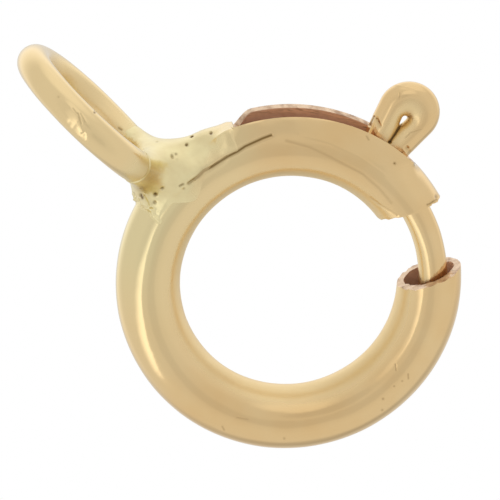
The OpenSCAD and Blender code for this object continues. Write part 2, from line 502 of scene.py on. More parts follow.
def open_slot(obj, s):
    """Parts the skin along the slot and bends its two edges out into lips."""
    path, outside = s["tube_path"], s["ring"] / 2
    mesh = bmesh.new()
    mesh.from_mesh(obj.data)
    moved = {}
    for vertex in mesh.verts:
        at = round_ring(vertex.co)
        past_start, to_end = (at - s["slot_from"]) * outside, (s["slot_to"] - at) * outside
        out = math.hypot(vertex.co.x, vertex.co.y) - path
        if min(past_start, to_end) <= -WALL_AHEAD or out <= 0:
            continue
        section = math.atan2(abs(vertex.co.z), out)
        sides = {math.copysign(1, f.calc_center_median().z) for f in vertex.link_faces}
        if len(sides) > 1:
            continue
        side = sides.pop()
        across = 1 - section / (math.pi / 2)
        # Above the slot the whole wall is bent up, from a little ahead of it. Below it only the lip rises.
        if side > 0:
            ahead, flare = WALL_AHEAD * (1 - across), 1
            ease = mix(WALL_EASE, SLOT_EASE, across)
            share = min((past_start + ahead) / ease, (to_end + ahead) / SLOT_EASE)
        else:
            share = min(past_start, to_end) / SLOT_EASE
            flare = ramp(0, LIP_EASE, past_start) * ramp(0, LOWER_LIP_EASE, to_end)
        if share <= 0:
            continue
        opened = math.sqrt(1 - (1 - min(share, 1)) ** 2)
        if side > 0:
            opened = mix(ramp(0, 1, share), opened, across)
        out, up = lip_point(across, opened, flare, s)
        turned = Matrix.Rotation(at, 3, "Z") @ Vector((path + out, 0, 0))
        moved[vertex] = Vector((turned.x, turned.y, side * up))
    for vertex, place in moved.items():
        vertex.co = place
    mesh.to_mesh(obj.data)
    mesh.free()


def cut_ends(obj, start, end, s):
    """Turns the skin's two square ends into the parallel cuts of the notch, with a filed, uneven rim."""
    half, r, path = s["notch"] / 2, s["tube"] / 2, s["tube_path"]

    def place(point):
        at = round_ring(point, start - 0.2)
        out, up = math.hypot(point.x, point.y), point.z
        section = math.hypot(out - path, up)
        if section < r - s["wall"] / 2:
            # The cut has rolled the mouth's upper edge inwards, most at the cut and no more behind it.
            burr = BURR * ramp(-0.3, 0.8, up) * (1 - ramp(0.1, 0.6, (end - at) * path)) / section
            out, up = out - (out - path) * burr, up * (1 - burr)
        rough = CUT_ROUGH * noise.noise(Vector((out * 3, point.z * 3, 0)))
        rough += CUT_GRIT * noise.noise(Vector((out * 8, point.z * 8, 5)))
        lean = (up + r) * math.tan(s["mouth_lean"])
        first = s["notch_at"] + math.asin((half + rough) / out)
        last = s["notch_at"] + math.tau - math.asin((half + lean + rough) / out)
        at += (first - start) * max(0, 1 - (at - start) / END_EASE)
        at += (last - end) * max(0, 1 - (end - at) / END_EASE)
        return Vector((out * math.cos(at), out * math.sin(at), up))

    move_points(obj, place)


# Where, in degrees round the ring, the tube is paler from the heat of soldering, and where the film of
# solder on it lies. Before that the film is thin, with this share of its strength.
HEATED = (138, 158, 223, 270)
FILMED = (160, 180, 200, 236)
THIN_FILM = (138, 152)
THIN_SHARE = 0.3


def tint_tube(obj, s):
    """Marks where the tube is tarnished and painted lighter by the lips, paler (on the inner side as
    painted light), filmed with solder and dull.
    """
    at, out = from_tube_middle(points_of(obj), s)
    # The tarnish is coppery inside the lips, less so towards the solder, and a little at the tube's ends.
    # Inside the lips it is also painted light and shade: lighter towards the lip's edge and darker deeper
    # in.
    in_slot = (at > s["slot_from"] - 0.01) & (at < s["slot_to"] + 0.01)
    lip = ramp(0.95, 1.2, out) * (1 - 0.45 * ramp(2.1, 2.45, at))
    from_notch = np.abs((at - s["notch_at"] + math.pi) % math.tau - math.pi) * s["ring"] / 2
    ends = 0.5 * (1 - ramp(s["notch"] / 2, s["notch"] / 2 + 0.8, from_notch))
    tint(obj, "lip", np.where(in_slot, lip, ends))
    # Polish hasn't reached the inner side of the ring, which is dull. It is also painted paler there, as
    # painted light.
    inner = ramp(0.35, 0.85, -out / (s["tube"] / 2))
    tint(obj, "dull", inner)
    # The gold is paler where it was heated for soldering, and palest where a film of solder has run.
    degrees = np.degrees(at)
    tint(obj, "pale", np.maximum(within(degrees, *HEATED), inner))
    thin = np.minimum(THIN_SHARE * ramp(*THIN_FILM, degrees), 1 - ramp(*FILMED[2:], degrees))
    film = np.maximum(thin, within(degrees, *FILMED))
    # There is little of it on the side of the hole.
    tint(obj, "film", film * (1 - 0.8 * ramp(0.3, -0.3, out)))


class CLASP_OT_tube(bpy.types.Operator):
    """Add the bent tube, with its slot, the lips beside it and its open ends"""

    bl_idname = "clasp.tube"
    bl_label = "Tube"

    def execute(self, context):
        s = sizes()
        half = math.asin(s["notch"] / 2 / s["tube_path"])
        start, end = s["notch_at"] + half, s["notch_at"] - half + math.tau
        obj = bent_wire(
            "tube", s["tube"] / 2, s["tube_path"], start, end, TUBE_STEPS, TUBE_POINTS, closed=False
        )
        # The skin is parted along the ring's outermost line, from the slot's one end to the other.
        crest = s["ring"] / 2 - 0.001
        bpy.ops.object.mode_set(mode="EDIT")
        pick(obj, "EDGE", lambda e: all(
            math.hypot(v.co.x, v.co.y) > crest and s["slot_from"] < round_ring(v.co) < s["slot_to"]
            for v in e.verts
        ))
        bpy.ops.mesh.edge_split(type="EDGE")
        bpy.ops.object.mode_set(mode="OBJECT")
        open_slot(obj, s)
        for material in (polished_gold(), tarnished_bore(), filed_edge()):
            obj.data.materials.append(material)
        modify(
            obj, "SOLIDIFY", thickness=s["wall"], offset=-1, use_even_offset=True,
            use_quality_normals=True, material_offset=1, material_offset_rim=2,
        )
        cut_ends(obj, start, end, s)
        modify(
            obj, "BEVEL", width=EDGE_BREAK, segments=2, limit_method="ANGLE", angle_limit=math.radians(50)
        )
        uneven(obj, depth=0.006, grain=1.6)
        draw_along(obj, depth=0.008, s=s)
        wear(obj, TUBE_MARKS)
        tint_tube(obj, s)
        finish(obj, "root", (), replaces=("clasp_ring",))
        return {"FINISHED"}


# The stop is a plug of this length, and the spring ends a little before it.
STOP_LENGTH = 0.5
STOP_GAP = math.radians(1.7)


class CLASP_OT_stop(bpy.types.Operator):
    """Add the stop in the tube that the spring pushes on"""

    bl_idname = "clasp.stop"
    bl_label = "Spring stop"

    def execute(self, context):
        s = sizes()
        path = s["tube_path"]
        # Its edge sinks halfway into the tube's wall.
        radius = s["tube"] / 2 - s["wall"] / 2
        start = s["spring_to"] + STOP_GAP
        obj = bent_wire("spring_stop", radius, path, start, start + STOP_LENGTH / path, 4, 48)
        finish(obj, "root", (tarnished_bore(),), replaces=("clasp_ring",))
        return {"FINISHED"}


def bail_place(s):
    """From the bail's own plane to the flat clasp."""
    out = s["bail"] / 2 - s["bail_sink"]
    return (
        Matrix.Translation((-s["ring"] / 2, 0, 0))
        @ Matrix.Rotation(-s["bail_lean"], 4, "Z")
        @ Matrix.Translation((-out, 0, 0))
        @ Matrix.Rotation(math.radians(90), 4, "X")
    )


def bail_section(points, s):
    """How far flat points are from the middle of the bail's wire: out from its eye, and across."""
    inverse = np.array(bail_place(s).inverted())
    own = points @ inverse[:3, :3].T + inverse[:3, 3]
    return np.hypot(own[:, 0], own[:, 1]) - s["bail_path"], own[:, 2]


BAIL_MARKS = (
    # A worn patch with scratches on the near half.
    Mark(((-11.94, 0.04, 3.49), (-11.78, 0.09, 3.59)), 0.12, 0.013, 0.0),
    Mark(((-11.68, -0.07, 3.50), (-11.32, -0.07, 3.60), (-11.19, -0.12, 3.63)), 0.13, 0.015, 0.0),
    Mark(((-11.95, 0.55, 3.55), (-11.60, 0.32, 3.66)), 0.025, 0.016, 0.35),
    Mark(((-11.85, 0.62, 3.55), (-11.50, 0.45, 3.66)), 0.025, 0.012, 0.25),
    Mark(((-11.73, 0.30, 3.63), (-11.35, 0.10, 3.72)), 0.03, -0.012, 0.0),
    Mark(((-12.21, 0.56, 3.44), (-11.95, 0.50, 3.53)), 0.03, 0.012, 0.2),
    Mark(((-11.28, 0.05, 3.71),), 0.09, 0.015, 0.1),
    Mark(((-10.60, 0.22, 3.79), (-10.10, 0.22, 3.74)), 0.26, 0.012, 0.0),
    # Pits.
    Mark(((-11.37, 0.95, 3.22),), 0.05, 0.03, 0.8),
    Mark(((-12.88, 0.51, 3.08),), 0.05, 0.01, 0.2),
    Mark(((-8.92, 0.32, -1.75), (-9.02, 0.30, -1.82)), 0.05, 0.02, 0.5),
    Mark(((-8.46, 0.42, -1.21),), 0.045, 0.02, 0.5),
)


# Wear has taken a soft flat off the bail: the way that it faces as the clasp lies, the angle within which
# it is felt, and its share of the depth that a straight cut at that angle would have.
BAIL_FLAT = Vector((-0.198, -0.013, 0.98))
BAIL_FLAT_ANGLE = math.radians(16)
BAIL_FLAT_SHARE = 0.75


def flatten(obj, s):
    """Takes the soft flat off the bail."""
    points, normals = points_of(obj), normals_of(obj)
    towards = np.array((LAID.inverted() @ BAIL_FLAT).normalized())
    turn = np.minimum(np.arccos(np.clip(normals @ towards, -1, 1)), BAIL_FLAT_ANGLE)
    depth = BAIL_FLAT_SHARE * s["bail_wire"] / 2 * (1 - math.cos(BAIL_FLAT_ANGLE) / np.cos(turn))
    put_points(obj, points - normals * depth[:, None])


class CLASP_OT_bail(bpy.types.Operator):
    """Add the bail, a ring of round wire"""

    bl_idname = "clasp.bail"
    bl_label = "Bail"

    def execute(self, context):
        s = sizes()
        deselect()
        bpy.ops.mesh.primitive_torus_add(
            major_segments=256, minor_segments=64,
            major_radius=s["bail_path"], minor_radius=s["bail_wire"] / 2,
        )
        obj = into_mesh(bpy.context.active_object)
        obj.name = obj.data.name = "bail"
        obj.data.transform(bail_place(s))
        uneven(obj, depth=0.008, grain=1.2)
        flatten(obj, s)
        wear(obj, BAIL_MARKS)
        tint(obj, "pale", np.ones(len(obj.data.vertices)))
        # Its foot has a film of solder, and polish hasn't reached the inner side.
        points = points_of(obj)
        foot = ramp(-9.4, -8.2, points[:, 0])
        inner = ramp(0.2, 0.8, -bail_section(points, s)[0] / (s["bail_wire"] / 2))
        tint(obj, "film", 0.8 * foot)
        tint(obj, "dull", np.maximum(foot, inner))
        finish(obj, "root", (polished_gold(),), replaces=("clasp_ring",))
        return {"FINISHED"}


# The solder fills the corner between bail and tube, and has run a little way along the tube.
# Its fill is how far the fillet reaches, more towards the slot. Its coat is how thick it lies on the tube,
# at the outside and by the crest.
SOLDER_FILL = (1.35, 2.2)
SOLDER_COAT = (0.2, 0.05)
# Where it hasn't run, its skin stays this far out of the tube's, which is under it.
SOLDER_UNDER = -0.04
# From where to where it goes round the ring, in degrees, and the same for the rough shape that it is drawn
# from and for the core that is taken out of that.
SOLDER_ENDS = (148.9, 206)
SOLDER_BODY = (149, 205.5)
SOLDER_CORE = (140, 215)
# The rough shape is this much thicker than the tube, and reaches this far up the bail on both sides, with a
# ball of this radius in the corner.
SOLDER_SPARE = 0.15
SOLDER_FOOT = math.radians(48)
SOLDER_BALL = 1.55
# How far under the tube's skin the solder goes, and how far out from it, inside the bail's wire.
SOLDER_DEPTH = 0.1
SOLDER_OUT = 2.2
# Grain of its rough shape and of its finished one.
SOLDER_ROUGH = 0.09
SOLDER_FINE = 0.045
# Its surface is uneven at these two sizes.
SOLDER_GRAINS = (0.7, 0.17)
SOLDER_MARKS = (
    # The solder's edge along the same line, darkened as a painted reflection.
    Mark(SOLDER_LINE, 0.065, 0.05, 0.5),
    # The ragged ridge at its lower end.
    Mark(((-7.11, -0.85, 1.20), (-6.90, -0.92, 1.30), (-6.69, -1.06, 1.35), (-6.50, -1.02, 1.36),
          (-6.35, -1.16, 1.38), (-6.02, -1.18, 1.42)), 0.11, -0.13, 0.0),
    Mark(((-6.83, 2.10, -0.18),), 0.070, 0.08, 1.0),
    Mark(((-6.94, 1.80, 0.36),), 0.055, 0.07, 0.9),
    Mark(((-7.77, 1.02, -0.28),), 0.050, 0.07, 0.7),
    Mark(((-6.50, 2.80, 0.46),), 0.060, 0.09, 0.8),
    Mark(((-6.87, -0.40, 1.52),), 0.070, 0.08, 1.0),
    Mark(((-6.84, -0.01, 1.63),), 0.050, 0.07, 0.8),
    Mark(((-6.66, -0.68, 1.40),), 0.055, 0.07, 0.8),
    Mark(((-7.13, -0.89, 1.22), (-7.22, -0.84, 1.15)), 0.055, 0.09, 1.0),
    Mark(((-7.24, 1.17, 0.87), (-7.16, 1.10, 0.90)), 0.045, 0.04, 0.45),
    Mark(((-7.14, 1.31, 0.86),), 0.045, 0.04, 0.5),
    Mark(((-7.30, 1.28, 0.80),), 0.040, -0.025, 0.0),
    Mark(((-7.02, 1.20, 0.92),), 0.040, -0.02, 0.0),
    Mark(((-6.33, 0.49, 1.50), (-6.27, 0.62, 1.48)), 0.040, 0.04, 0.6),
    Mark(((-6.13, 0.52, 1.54),), 0.040, 0.03, 0.4),
    Mark(((-6.22, 0.48, 1.52),), 0.040, -0.03, 0.0),
    Mark(((-6.06, 0.94, 1.49), (-6.00, 1.06, 1.46)), 0.035, 0.04, 0.8),
    Mark(((-7.51, -0.58, 1.69),), 0.045, 0.04, 0.5),
)
# Painted shade, amber, in the concave corner where the bail's foot meets the solder.
CORNER_SHADE = Mark(((-8.13, 0.27, 2.78), (-7.6, 0.1, 2.1), (-7.5, -0.5, 1.5)), 0.36, 0.0, 1.0)
# How much a mark's dirt, or its painted dark, spreads past it.
DIRT_AND_SHADE_SPREAD = 1.7


def solder_skin(points, grain, s):
    """How far each flat point is outside the solder's skin. Below nothing is inside."""
    x, y, z = points.T
    r = s["tube"] / 2
    at, out = from_tube_middle(points, s)
    at = np.degrees(at)
    to_middle = np.hypot(out, z)
    round_tube = np.degrees(np.arctan2(z, out))
    from_bail = np.hypot(*bail_section(points, s)) - s["bail_wire"] / 2
    from_tube = to_middle - r
    broad, fine = grain
    # Towards the slot it thins out over the wall that is bent up to the upper lip: that arc, and its end.
    end, arc, drop = lip_arc(s)
    slope = np.sin(np.radians(np.maximum(round_tube, 0)))
    bent = np.sqrt(drop**2 * slope**2 + arc**2 - drop**2) - drop * slope
    edge = (end - 0.02) / np.cos(np.radians(np.clip(round_tube, 0, 70)))
    wall = np.minimum(bent, edge) - r + mix(SOLDER_UNDER, 0.012, ramp(149.2, 151, at))
    # Where it has run on the tube, thickest outside. It stops short of the crest and in a ragged step.
    ragged = 188.2 + 1.6 * broad + 1.8 * fine
    run = 1 - ramp(ragged, ragged + 3.4, at)
    run *= ramp(-85, -45, round_tube) * (1 - ramp(66, 76, round_tube - 3 * broad))
    coat = mix(*SOLDER_COAT, ramp(15, 62, round_tube))
    coat = mix(wall, coat, ramp(152, 160, at))
    tube_side = from_tube - mix(SOLDER_UNDER, coat + 0.02 * broad + 0.005 * fine, run)
    # It has climbed a little way up the bail's foot.
    climb = ramp(-9.1, -7.9, x + 0.2 * broad + 0.15 * fine)
    bail_side = from_bail + mix(0.035 - 0.015 * broad, -0.045 + 0.008 * fine, climb)
    fill = mix(*SOLDER_FILL, ramp(-0.5, 0.5, y))
    apart = np.maximum(fill - np.abs(tube_side - bail_side), 0) / fill
    skin = np.minimum(tube_side, bail_side) - apart**2 * fill / 4
    for mark in SOLDER_MARKS:
        skin += mark.depth * imprint(points, mark)
    # Inside, it stops within the tube's wall. Its two ends are cut off, at about 0.1 mm to the degree, and
    # so is what runs up inside the bail's wire.
    skin = np.maximum(skin, (r - SOLDER_DEPTH) - to_middle)
    skin = np.maximum(skin, (SOLDER_ENDS[0] - at) * 0.1)
    skin = np.maximum(skin, (at - SOLDER_ENDS[1]) * 0.1)
    return np.maximum(skin, from_tube - SOLDER_OUT)


def settle(obj, s, rounds):
    """Draws the points of the solder's shape onto its skin.

    In each round but the last two they are first spaced out, halfway to the middle of their neighbours.
    A point moves by how far it is from the skin, down the steepest way, and never far in one round.
    """
    points = points_of(obj)
    ends = np.empty(2 * len(obj.data.edges), dtype=np.int32)
    obj.data.edges.foreach_get("vertices", ends)
    ends = ends.reshape(-1, 2)
    joined = np.bincount(ends.ravel(), minlength=len(points))
    grain = np.array([[noise.noise(Vector(p) / size) for p in points] for size in SOLDER_GRAINS])
    step = 0.002
    for turn in range(rounds):
        if turn < rounds - 2:
            for axis in range(3):
                around = np.zeros(len(points))
                for near, far in (ends.T, ends.T[::-1]):
                    around += np.bincount(near, weights=points[far, axis], minlength=len(points))
                points[:, axis] = mix(points[:, axis], around / joined, 0.5)
        height = solder_skin(points, grain, s)
        slope = np.stack([
            solder_skin(points + step * np.eye(3)[i], grain, s) - height for i in range(3)
        ], axis=1) / step
        steep = np.maximum(np.sum(slope * slope, axis=1), 0.25)
        move = np.clip(height / steep, -0.12, 0.12)
        points -= slope * move[:, None]
    put_points(obj, points)


def tint_solder(obj, s):
    """Marks how thick the solder lies, its dirty pits, the painted dark line along its edge and the painted
    shade in the corner at the bail's foot.
    """
    points = points_of(obj)
    at, out = from_tube_middle(points, s)
    at = np.degrees(at)
    from_tube = np.hypot(out, points[:, 2]) - s["tube"] / 2
    thick = np.maximum(ramp(0.0, 0.12, from_tube), ramp(165, 180, at))
    tint(obj, "thick", thick * mix(0.3, 1, ramp(149, 162, at)))
    dirt = np.zeros(len(points))
    for mark in SOLDER_MARKS:
        dirt = np.maximum(dirt, mark.dirt * np.minimum(DIRT_AND_SHADE_SPREAD * imprint(points, mark), 1))
    tint(obj, "dirt", dirt)
    tint(obj, "amber", imprint(points, CORNER_SHADE))


class CLASP_OT_solder(bpy.types.Operator):
    """Add the solder that joins the bail to the tube"""

    bl_idname = "clasp.solder"
    bl_label = "Solder"

    def execute(self, context):
        s = sizes()
        r, path = s["tube"] / 2, s["tube_path"]
        obj = bent_wire("solder", r + SOLDER_SPARE, path, *map(math.radians, SOLDER_BODY), 60, 48)
        foot = bent_wire("foot", s["bail_wire"] / 2, s["bail_path"], -SOLDER_FOOT, SOLDER_FOOT, 40, 32)
        foot.data.transform(bail_place(s))
        deselect()
        bpy.ops.mesh.primitive_uv_sphere_add(
            segments=32, ring_count=16, radius=SOLDER_BALL, location=(-s["ring"] / 2 - 0.1, 0, 0)
        )
        ball = into_mesh(bpy.context.active_object)
        core = bent_wire("core", r - SOLDER_DEPTH, path, *map(math.radians, SOLDER_CORE), 60, 48)
        for other, operation in ((foot, "UNION"), (ball, "UNION"), (core, "DIFFERENCE")):
            modify(obj, "BOOLEAN", object=other, operation=operation, solver="EXACT")
            bpy.data.objects.remove(other)
        for voxel, rounds in ((SOLDER_ROUGH, 14), (SOLDER_FINE, 6)):
            modify(obj, "REMESH", mode="VOXEL", voxel_size=voxel)
            settle(obj, s, rounds)
        tint_solder(obj, s)
        finish(obj, "root", (solder_gold(),), replaces=("clasp_ring",), smooth_angle=60)
        return {"FINISHED"}


# How much of the bolt's two ends is rounded off.
TIP_ROUND = 0.16
# The loop's legs are drawn out in this many steps, so that marks find a mesh there.
LEG_STEPS = 40
# How far the bending has swollen the inner side of the loop's far end.
LOOP_SWELL = 0.29
LOOP_MARKS = (
    # The crease between the legs, down to the lip, darkened with painted shade.
    Mark(((-0.67, 7.87, 0.20), (-0.63, 7.45, 0.30), (-0.59, 7.03, 0.34)), 0.035, 0.02, 0.7),
    Mark(((-0.59, 7.01, 0.36),), 0.05, 0.04, 0.8),
    # The cut end of the wire on the left leg.
    Mark(((-1.72, 7.38, 0.10), (-1.64, 7.02, 0.15)), 0.05, 0.04, 0.6),
    Mark(((-1.62, 7.42, 0.38), (-1.38, 7.32, 0.55)), 0.06, 0.025, 0.25),
    # The notch under the right leg, darkened with painted shade.
    Mark(((0.10, 7.28, 0.45), (0.28, 7.20, 0.30)), 0.08, 0.04, 0.35),
    # Scratches.
    Mark(((-1.95, 8.95, 0.25), (-1.46, 9.24, 0.33), (-1.05, 9.35, 0.30)), 0.035, -0.01, 0.0),
    Mark(((-1.62, 8.85, 0.47), (-1.50, 8.70, 0.55)), 0.03, 0.015, 0.3),
    Mark(((0.02, 8.25, 0.48), (-0.23, 7.88, 0.58), (-0.26, 7.60, 0.60)), 0.03, 0.014, 0.25),
    Mark(((-0.12, 8.25, 0.52), (-0.32, 7.80, 0.60)), 0.03, -0.010, 0.0),
)


class CLASP_OT_bolt(bpy.types.Operator):
    """Add the bolt and its thumb loop, bent from one wire"""

    bl_idname = "clasp.bolt"
    bl_label = "Bolt and thumb loop"

    def execute(self, context):
        s = sizes()
        bolt = bent_wire(
            "bolt_and_loop", s["bolt"] / 2, s["bolt_path"], s["bolt_from"], s["bolt_to"], 180, 56
        )
        bpy.ops.object.mode_set(mode="EDIT")
        pick(bolt, "FACE", lambda f: len(f.verts) > 4)
        bpy.ops.mesh.region_to_loop()
        bpy.ops.mesh.bevel(offset=TIP_ROUND, segments=5, affect="EDGES")
        bpy.ops.object.mode_set(mode="OBJECT")

        # The loop is bent round its hole, in its own plane, until its two ends point at the bolt's wire.
        # There the legs stand a little apart.
        wire_r = s["loop_wire"] / 2
        loop_r = s["loop_hole"] / 2 + wire_r
        foot = s["loop_out"] - s["bolt_path"]
        spread = s["leg_spread"] / 2
        far = math.hypot(foot, spread)
        lean = math.asin(loop_r / far) - math.atan2(spread, foot)
        bend = math.radians(90) + lean
        loop = bent_wire("loop", wire_r, loop_r, -bend, bend, 80, 56, closed=False)
        # From there, each leg runs straight to the middle of the bolt's wire.
        leg = math.sqrt(far * far - loop_r * loop_r)
        bpy.ops.object.mode_set(mode="EDIT")
        for side in (-1, 1):
            tip = Vector((loop_r * math.cos(bend), side * loop_r * math.sin(bend), 0))
            pick(loop, "VERT", lambda v: v.is_boundary and (v.co - tip).length < wire_r * 1.1)
            pace = Vector((-math.cos(lean), -side * math.sin(lean), 0)) * leg / LEG_STEPS
            for _ in range(LEG_STEPS):
                bpy.ops.mesh.extrude_region_move(TRANSFORM_OT_translate={"value": pace})
        pick(loop, "EDGE", lambda e: e.is_boundary)
        bpy.ops.mesh.edge_face_add()
        bpy.ops.object.mode_set(mode="OBJECT")
        face_out(loop)

        def thicken(point):
            inner = 1 - ramp(0.1, 0.95, math.hypot(point.x, point.y))
            return point - Vector((LOOP_SWELL * inner * (1 - ramp(0.2, 1.1, -point.x)), 0, 0))

        move_points(loop, thicken)
        loop.data.transform(
            Matrix.Rotation(s["loop_at"], 4, "Z") @ Matrix.Translation((s["loop_out"], 0, 0))
        )
        modify(bolt, "BOOLEAN", object=loop, operation="UNION", solver="EXACT", use_self=True)
        bpy.data.objects.remove(loop)
        uneven(bolt, depth=0.008, grain=0.9)
        wear(bolt, LOOP_MARKS, cuts=2)
        # Polish hasn't reached the loop's hole, the crease from it to the lips, or the bolt's inner side,
        # which are dull; they are also painted paler, as painted light.
        points = points_of(bolt)
        outwards = np.array((math.cos(s["loop_at"]), math.sin(s["loop_at"]), 0))
        inner = ramp(0, 0.8, (s["bolt_path"] - np.hypot(points[:, 0], points[:, 1])) / (s["bolt"] / 2))
        seam = ((s["ring"] / 2 - 0.1) * outwards, (s["loop_out"] + 0.1) * outwards)
        crease = 1 - ramp(0.3, 0.75, far_from(points, seam))
        tint(bolt, "pale", np.maximum(inner, crease))
        tint(bolt, "dull", np.maximum(0.5 * inner, crease))
        finish(bolt, "bolt", (polished_gold(),), replaces=("bolt",))
        return {"FINISHED"}


class CLASP_OT_spring(bpy.types.Operator):
    """Add the coil spring inside the tube"""

    bl_idname = "clasp.spring"
    bl_label = "Coil spring"

    def execute(self, context):
        s = sizes()
        path, start, end, turns = s["tube_path"], s["spring_from"], s["spring_to"], s["spring_turns"]
        obj = wire_circle("coil_spring", s["spring_wire"] / 2, s["spring_coil"], 8)
        modify(
            obj, "SCREW", axis="Z", screw_offset=(end - start) * path / turns, iterations=turns,
            steps=24, render_steps=24,
        )
        bpy.ops.object.mode_set(mode="EDIT")
        pick(obj, "EDGE", lambda e: e.is_boundary)
        bpy.ops.mesh.edge_face_add()
        bpy.ops.object.mode_set(mode="OBJECT")
        face_out(obj)

        def bend(point):
            at, out = start + point.z / path, path + point.x
            return Vector((out * math.cos(at), out * math.sin(at), point.y))

        move_points(obj, bend)
        face_out(obj)
        select_only(obj)
        bpy.ops.object.shade_smooth()
        obj.data.transform(Matrix.Scale(MM, 4) @ LAID)
        obj.data.materials.append(spring_steel())

        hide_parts("spring")
        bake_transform(obj)
        return {"FINISHED"}


def add_node(tree, kind, settings=None, links=None):
    """Adds a node, with its settings and sockets' values and what its inputs are linked to."""
    node = tree.nodes.new(kind)
    for name, value in (settings or {}).items():
        if isinstance(name, int) or name in node.inputs:
            node.inputs[name].default_value = value
        else:
            setattr(node, name, value)
    for name, source in (links or {}).items():
        tree.links.new(source, node.inputs[name])
    return node


def blank_material(name):
    """A material with its object's coordinates in millimetres, so a scale is one over a pattern's size."""
    material = bpy.data.materials.new(name)
    material.use_nodes = True
    tree = material.node_tree
    tree.nodes.clear()
    place = add_node(tree, "ShaderNodeTexCoord").outputs["Object"]
    scaled = add_node(
        tree, "ShaderNodeMapping", {"Scale": (1 / MM, 1 / MM, 1 / MM)}, {"Vector": place}
    )
    return material, tree, scaled.outputs["Vector"]


# The sockets of a Mix node that mixes colours: how much, from which colour to which, and the mixed one.
AMOUNT, FROM, TO, MIXED = 0, 6, 7, 2


@cache
def polished_gold():
    # 14 carat yellow gold, drawn, bent and hand polished: it mirrors the tent softly, a little hazily.
    # It is paler where it was heated, and painted paler on inner sides as painted light; dull where polish
    # hasn't reached; and darker in its marks, from dirt and from painted shade and reflection.
    material, tree, place = blank_material("polished 14 carat gold")
    felt = {
        name: add_node(tree, "ShaderNodeAttribute", {"attribute_name": name}).outputs["Fac"]
        for name in ("pale", "film", "dirt", "dull")
    }
    # Handling has left it warmer in patches about 3 mm wide.
    patches = add_node(tree, "ShaderNodeTexNoise", {"Scale": 0.35, "Detail": 3.0}, {"Vector": place})
    spread = add_node(
        tree, "ShaderNodeMapRange", {"From Min": 0.35, "From Max": 0.65},
        {"Value": patches.outputs["Fac"]},
    )
    tone = add_node(
        tree, "ShaderNodeMix", {"data_type": "RGBA", FROM: shown("gold"), TO: shown("gold_warm")},
        {AMOUNT: spread.outputs["Result"]},
    )
    for name, over in (("pale", "gold_pale"), ("film", "solder_dull"), ("dirt", "stain_and_shade")):
        tone = add_node(
            tree, "ShaderNodeMix", {"data_type": "RGBA", TO: shown(over)},
            {AMOUNT: felt[name], FROM: tone.outputs[MIXED]},
        )
    # The haze comes in clouds of 0.8 mm.
    fog = add_node(tree, "ShaderNodeTexNoise", {"Scale": 1.3, "Detail": 5.0}, {"Vector": place})
    rough = add_node(
        tree, "ShaderNodeMapRange", {"From Min": 0.3, "From Max": 0.7, "To Min": 0.09, "To Max": 0.16},
        {"Value": fog.outputs["Fac"]},
    ).outputs["Result"]
    for name, more in (("dull", 0.27), ("dirt", 0.3)):
        rough = add_node(
            tree, "ShaderNodeMath", {"operation": "MULTIPLY_ADD", 1: more}, {0: felt[name], 2: rough}
        ).outputs["Value"]
    # Hand polishing leaves soft waves of 0.6 mm. The metal's own grain is finer than the 0.12 mm that it is
    # drawn at, so that it shows.
    swell = add_node(tree, "ShaderNodeTexNoise", {"Scale": 1.6, "Detail": 2.0}, {"Vector": place})
    wave = add_node(
        tree, "ShaderNodeBump", {"Strength": 1.0, "Distance": 0.004 * MM},
        {"Height": swell.outputs["Fac"]},
    )
    peel = add_node(tree, "ShaderNodeTexNoise", {"Scale": 8.0, "Detail": 4.0}, {"Vector": place})
    skin = add_node(
        tree, "ShaderNodeBump", {"Strength": 1.0, "Distance": 0.0008 * MM},
        {"Height": peel.outputs["Fac"], "Normal": wave.outputs["Normal"]},
    )
    surface = add_node(
        tree, "ShaderNodeBsdfPrincipled", {"Metallic": 1.0},
        {"Base Color": tone.outputs[MIXED], "Roughness": rough, "Normal": skin.outputs["Normal"]},
    )
    add_node(tree, "ShaderNodeOutputMaterial", None, {"Surface": surface.outputs["BSDF"]})
    return material


